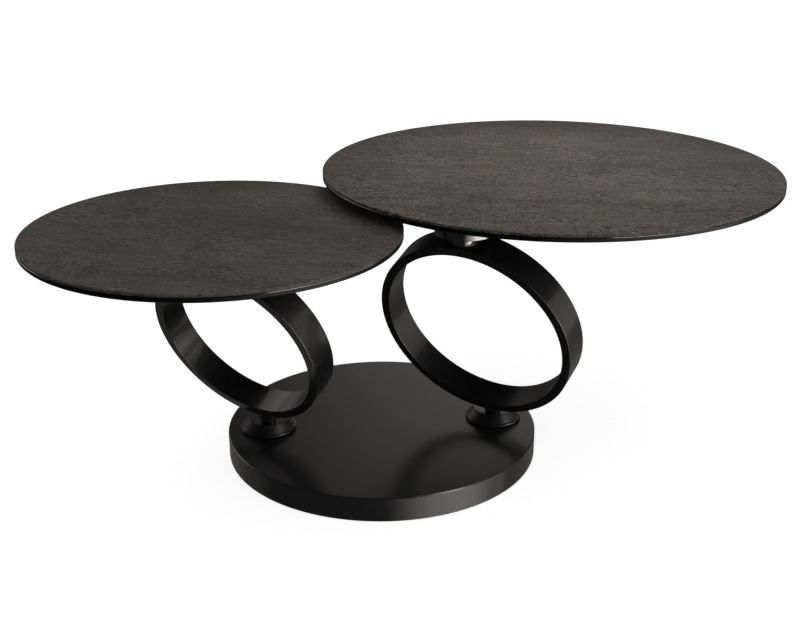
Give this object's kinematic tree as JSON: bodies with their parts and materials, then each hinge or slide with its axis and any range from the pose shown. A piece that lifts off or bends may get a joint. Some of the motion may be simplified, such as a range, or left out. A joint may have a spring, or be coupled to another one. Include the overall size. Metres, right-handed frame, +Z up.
{
  "type": "swivel coffee table",
  "caption": "Round coffee table with overlapping stone-look ceramic tops that swivel on leaning steel rings above a heavy round base.",
  "frame": {"origin": "centre of the round base, on the floor", "axes": "+Z up; +X from the small ring's swivel to the large ring's swivel; +Y away from the side that the rings' upper ends lean towards"},
  "size_m": [1.1924, 0.8671, 0.4272],
  "materials": {
    "satin_black": "satin",
    "gloss_black": "gloss",
    "stone_ceramic": "matte",
    "black_glass": "gloss",
    "plain_steel": "satin",
    "turned_steel": "satin",
    "zinc_screws": "satin",
    "black_screws": "satin",
    "bush_plastic": "matte",
    "pad_rubber": "matte"
  },
  "bodies": {
    "base": {"base_shell": "satin_black", "ballast_plate": "plain_steel", "ballast_screws": "black_screws", "bottom_cover": "plain_steel", "cover_screws": "zinc_screws", "floor_pad": "pad_rubber", "small_lower_flange": "gloss_black", "small_lower_flange_screws": "black_screws", "small_lower_bush": "bush_plastic", "large_lower_flange": "gloss_black", "large_lower_flange_screws": "black_screws", "large_lower_bush": "bush_plastic"},
    "small_ring_body": {"small_ring": "satin_black", "small_lower_spindle": "satin_black", "small_thrust_washer": "zinc_screws", "small_lock_nut": "zinc_screws", "small_upper_hub": "gloss_black", "small_upper_bush": "bush_plastic", "small_set_screw": "black_screws"},
    "large_ring_body": {"large_ring": "satin_black", "large_lower_spindle": "satin_black", "large_thrust_washer": "zinc_screws", "large_lock_nut": "zinc_screws", "large_upper_hub": "gloss_black", "large_upper_bush": "bush_plastic", "large_set_screw": "black_screws"},
    "small_top_body": {"small_ceramic_top": "stone_ceramic", "small_glass_plate": "black_glass", "small_mount_plate": "plain_steel", "small_upper_flange": "gloss_black", "small_upper_pin": "turned_steel", "small_upper_flange_screws": "black_screws"},
    "large_top_body": {"large_ceramic_top": "stone_ceramic", "large_glass_plate": "black_glass", "large_mount_plate": "plain_steel", "large_upper_flange": "gloss_black", "large_upper_pin": "turned_steel", "large_upper_flange_screws": "black_screws"}
  },
  "joints": [
    {"name": "small_ring_swivel", "type": "hinge", "parent": "base", "child": "small_ring_body", "pos_m": [-0.1848, 0, 0.0575], "axis": [0, 0, 1], "range_deg": [-111, 5]},
    {"name": "large_ring_swivel", "type": "hinge", "parent": "base", "child": "large_ring_body", "pos_m": [0.1848, 0, 0.0575], "axis": [0, 0, 1], "continuous": true},
    {"name": "small_top_swivel", "type": "hinge", "parent": "small_ring_body", "child": "small_top_body", "pos_m": [-0.24991, -0.0864, 0.37426], "axis": [0, 0, 1], "continuous": true},
    {"name": "large_top_swivel", "type": "hinge", "parent": "large_ring_body", "child": "large_top_body", "pos_m": [0.11641, -0.09075, 0.39715], "axis": [0, 0, 1], "continuous": true}
  ]
}
